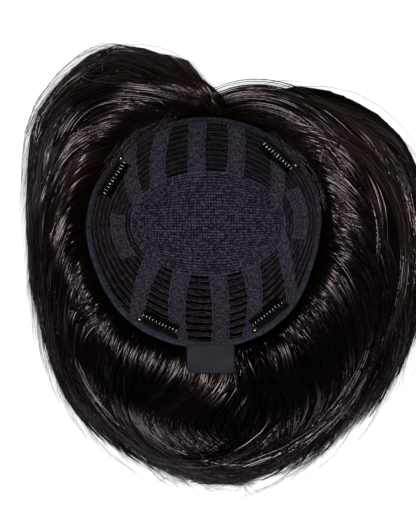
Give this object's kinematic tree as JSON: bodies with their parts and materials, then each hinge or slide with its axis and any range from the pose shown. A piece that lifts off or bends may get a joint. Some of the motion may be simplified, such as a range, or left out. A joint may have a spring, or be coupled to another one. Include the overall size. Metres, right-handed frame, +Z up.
{
  "type": "hair topper",
  "caption": "Clip-in hair topper lying crown down, a round wefted cap with lace straps, comb clips and a dark bob spread round its rim.",
  "frame": {"origin": "on the table under the middle of the cap, on the flat underside of the pressed hair", "axes": "+Z up, out of the open mouth of the cap; +Y to the front hairline and -Y to the nape with the label; +X to the right in the picture"},
  "size_m": [0.2951, 0.314, 0.0502],
  "materials": {
    "knit": "matte stretch knit",
    "lace": "matte woven lace tape",
    "weft": "sewn hair track",
    "binding": "matte folded tape",
    "steel": "gloss black",
    "brass": "polished",
    "label": "satin ribbon",
    "hair": "glossy fibre"
  },
  "bodies": {
    "root": {"crown_panel": "knit", "strap_front_1": "lace", "strap_front_2": "lace", "strap_front_3": "lace", "strap_front_4": "lace", "strap_front_5": "lace", "strap_back_1": "lace", "strap_back_2": "lace", "strap_back_3": "lace", "strap_back_4": "lace", "strap_back_5": "lace", "strap_side_left": "lace", "strap_side_right": "lace", "weft_row_1": "weft", "weft_row_2": "weft", "weft_row_3": "weft", "weft_row_4": "weft", "weft_row_5": "weft", "weft_row_6": "weft", "weft_row_7": "weft", "weft_row_8": "weft", "weft_row_9": "weft", "edge_binding": "binding", "clip_front_left": "steel", "rivet_front_left": "brass", "clip_front_right": "steel", "rivet_front_right": "brass", "clip_back_left": "steel", "rivet_back_left": "brass", "clip_back_right": "steel", "rivet_back_right": "brass", "label": "label", "hair": "hair"}
  },
  "joints": []
}
